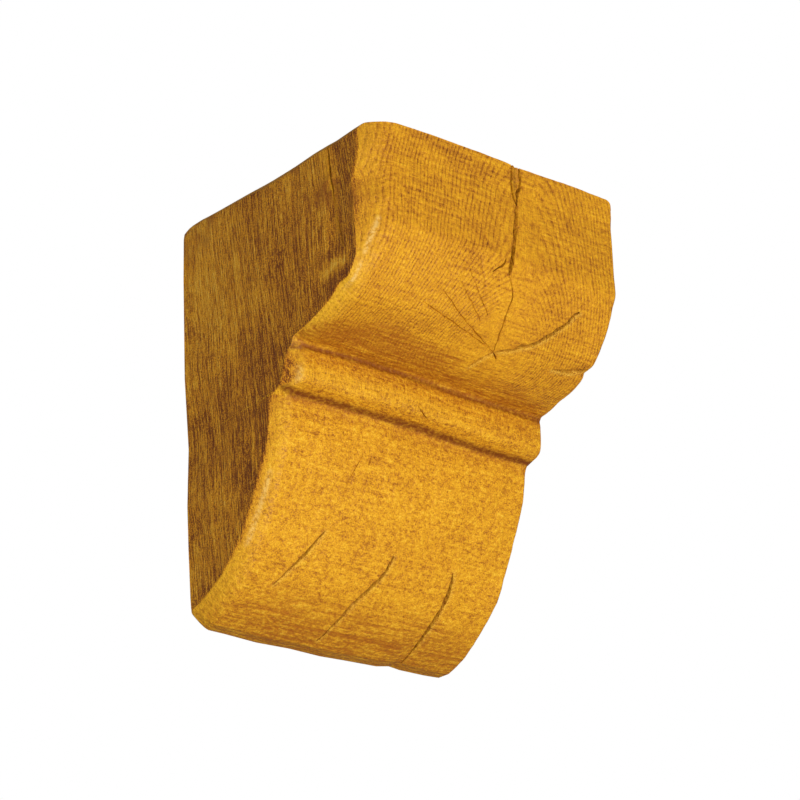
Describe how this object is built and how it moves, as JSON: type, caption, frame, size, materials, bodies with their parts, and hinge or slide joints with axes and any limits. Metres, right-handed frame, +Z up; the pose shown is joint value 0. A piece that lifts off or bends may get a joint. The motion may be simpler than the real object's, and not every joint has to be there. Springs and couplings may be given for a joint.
{
  "type": "corbel bracket",
  "caption": "Solid wooden corbel bracket with a plain fascia, an upper ovolo, a soft bead and a lower ovolo running back to the wall, stained and checked, to carry a shelf or beam.",
  "frame": {"origin": "centre of the flat back face that goes against the wall", "axes": "+Y out of the back face towards the wall, +Z up to the flat top face, front towards -Y"},
  "size_m": [0.154, 0.1445, 0.204],
  "materials": {
    "stained_wood": "rough-sawn timber with a honey stain and a thin satin finish"
  },
  "bodies": {
    "root": {"corbel": "stained_wood"}
  },
  "joints": []
}
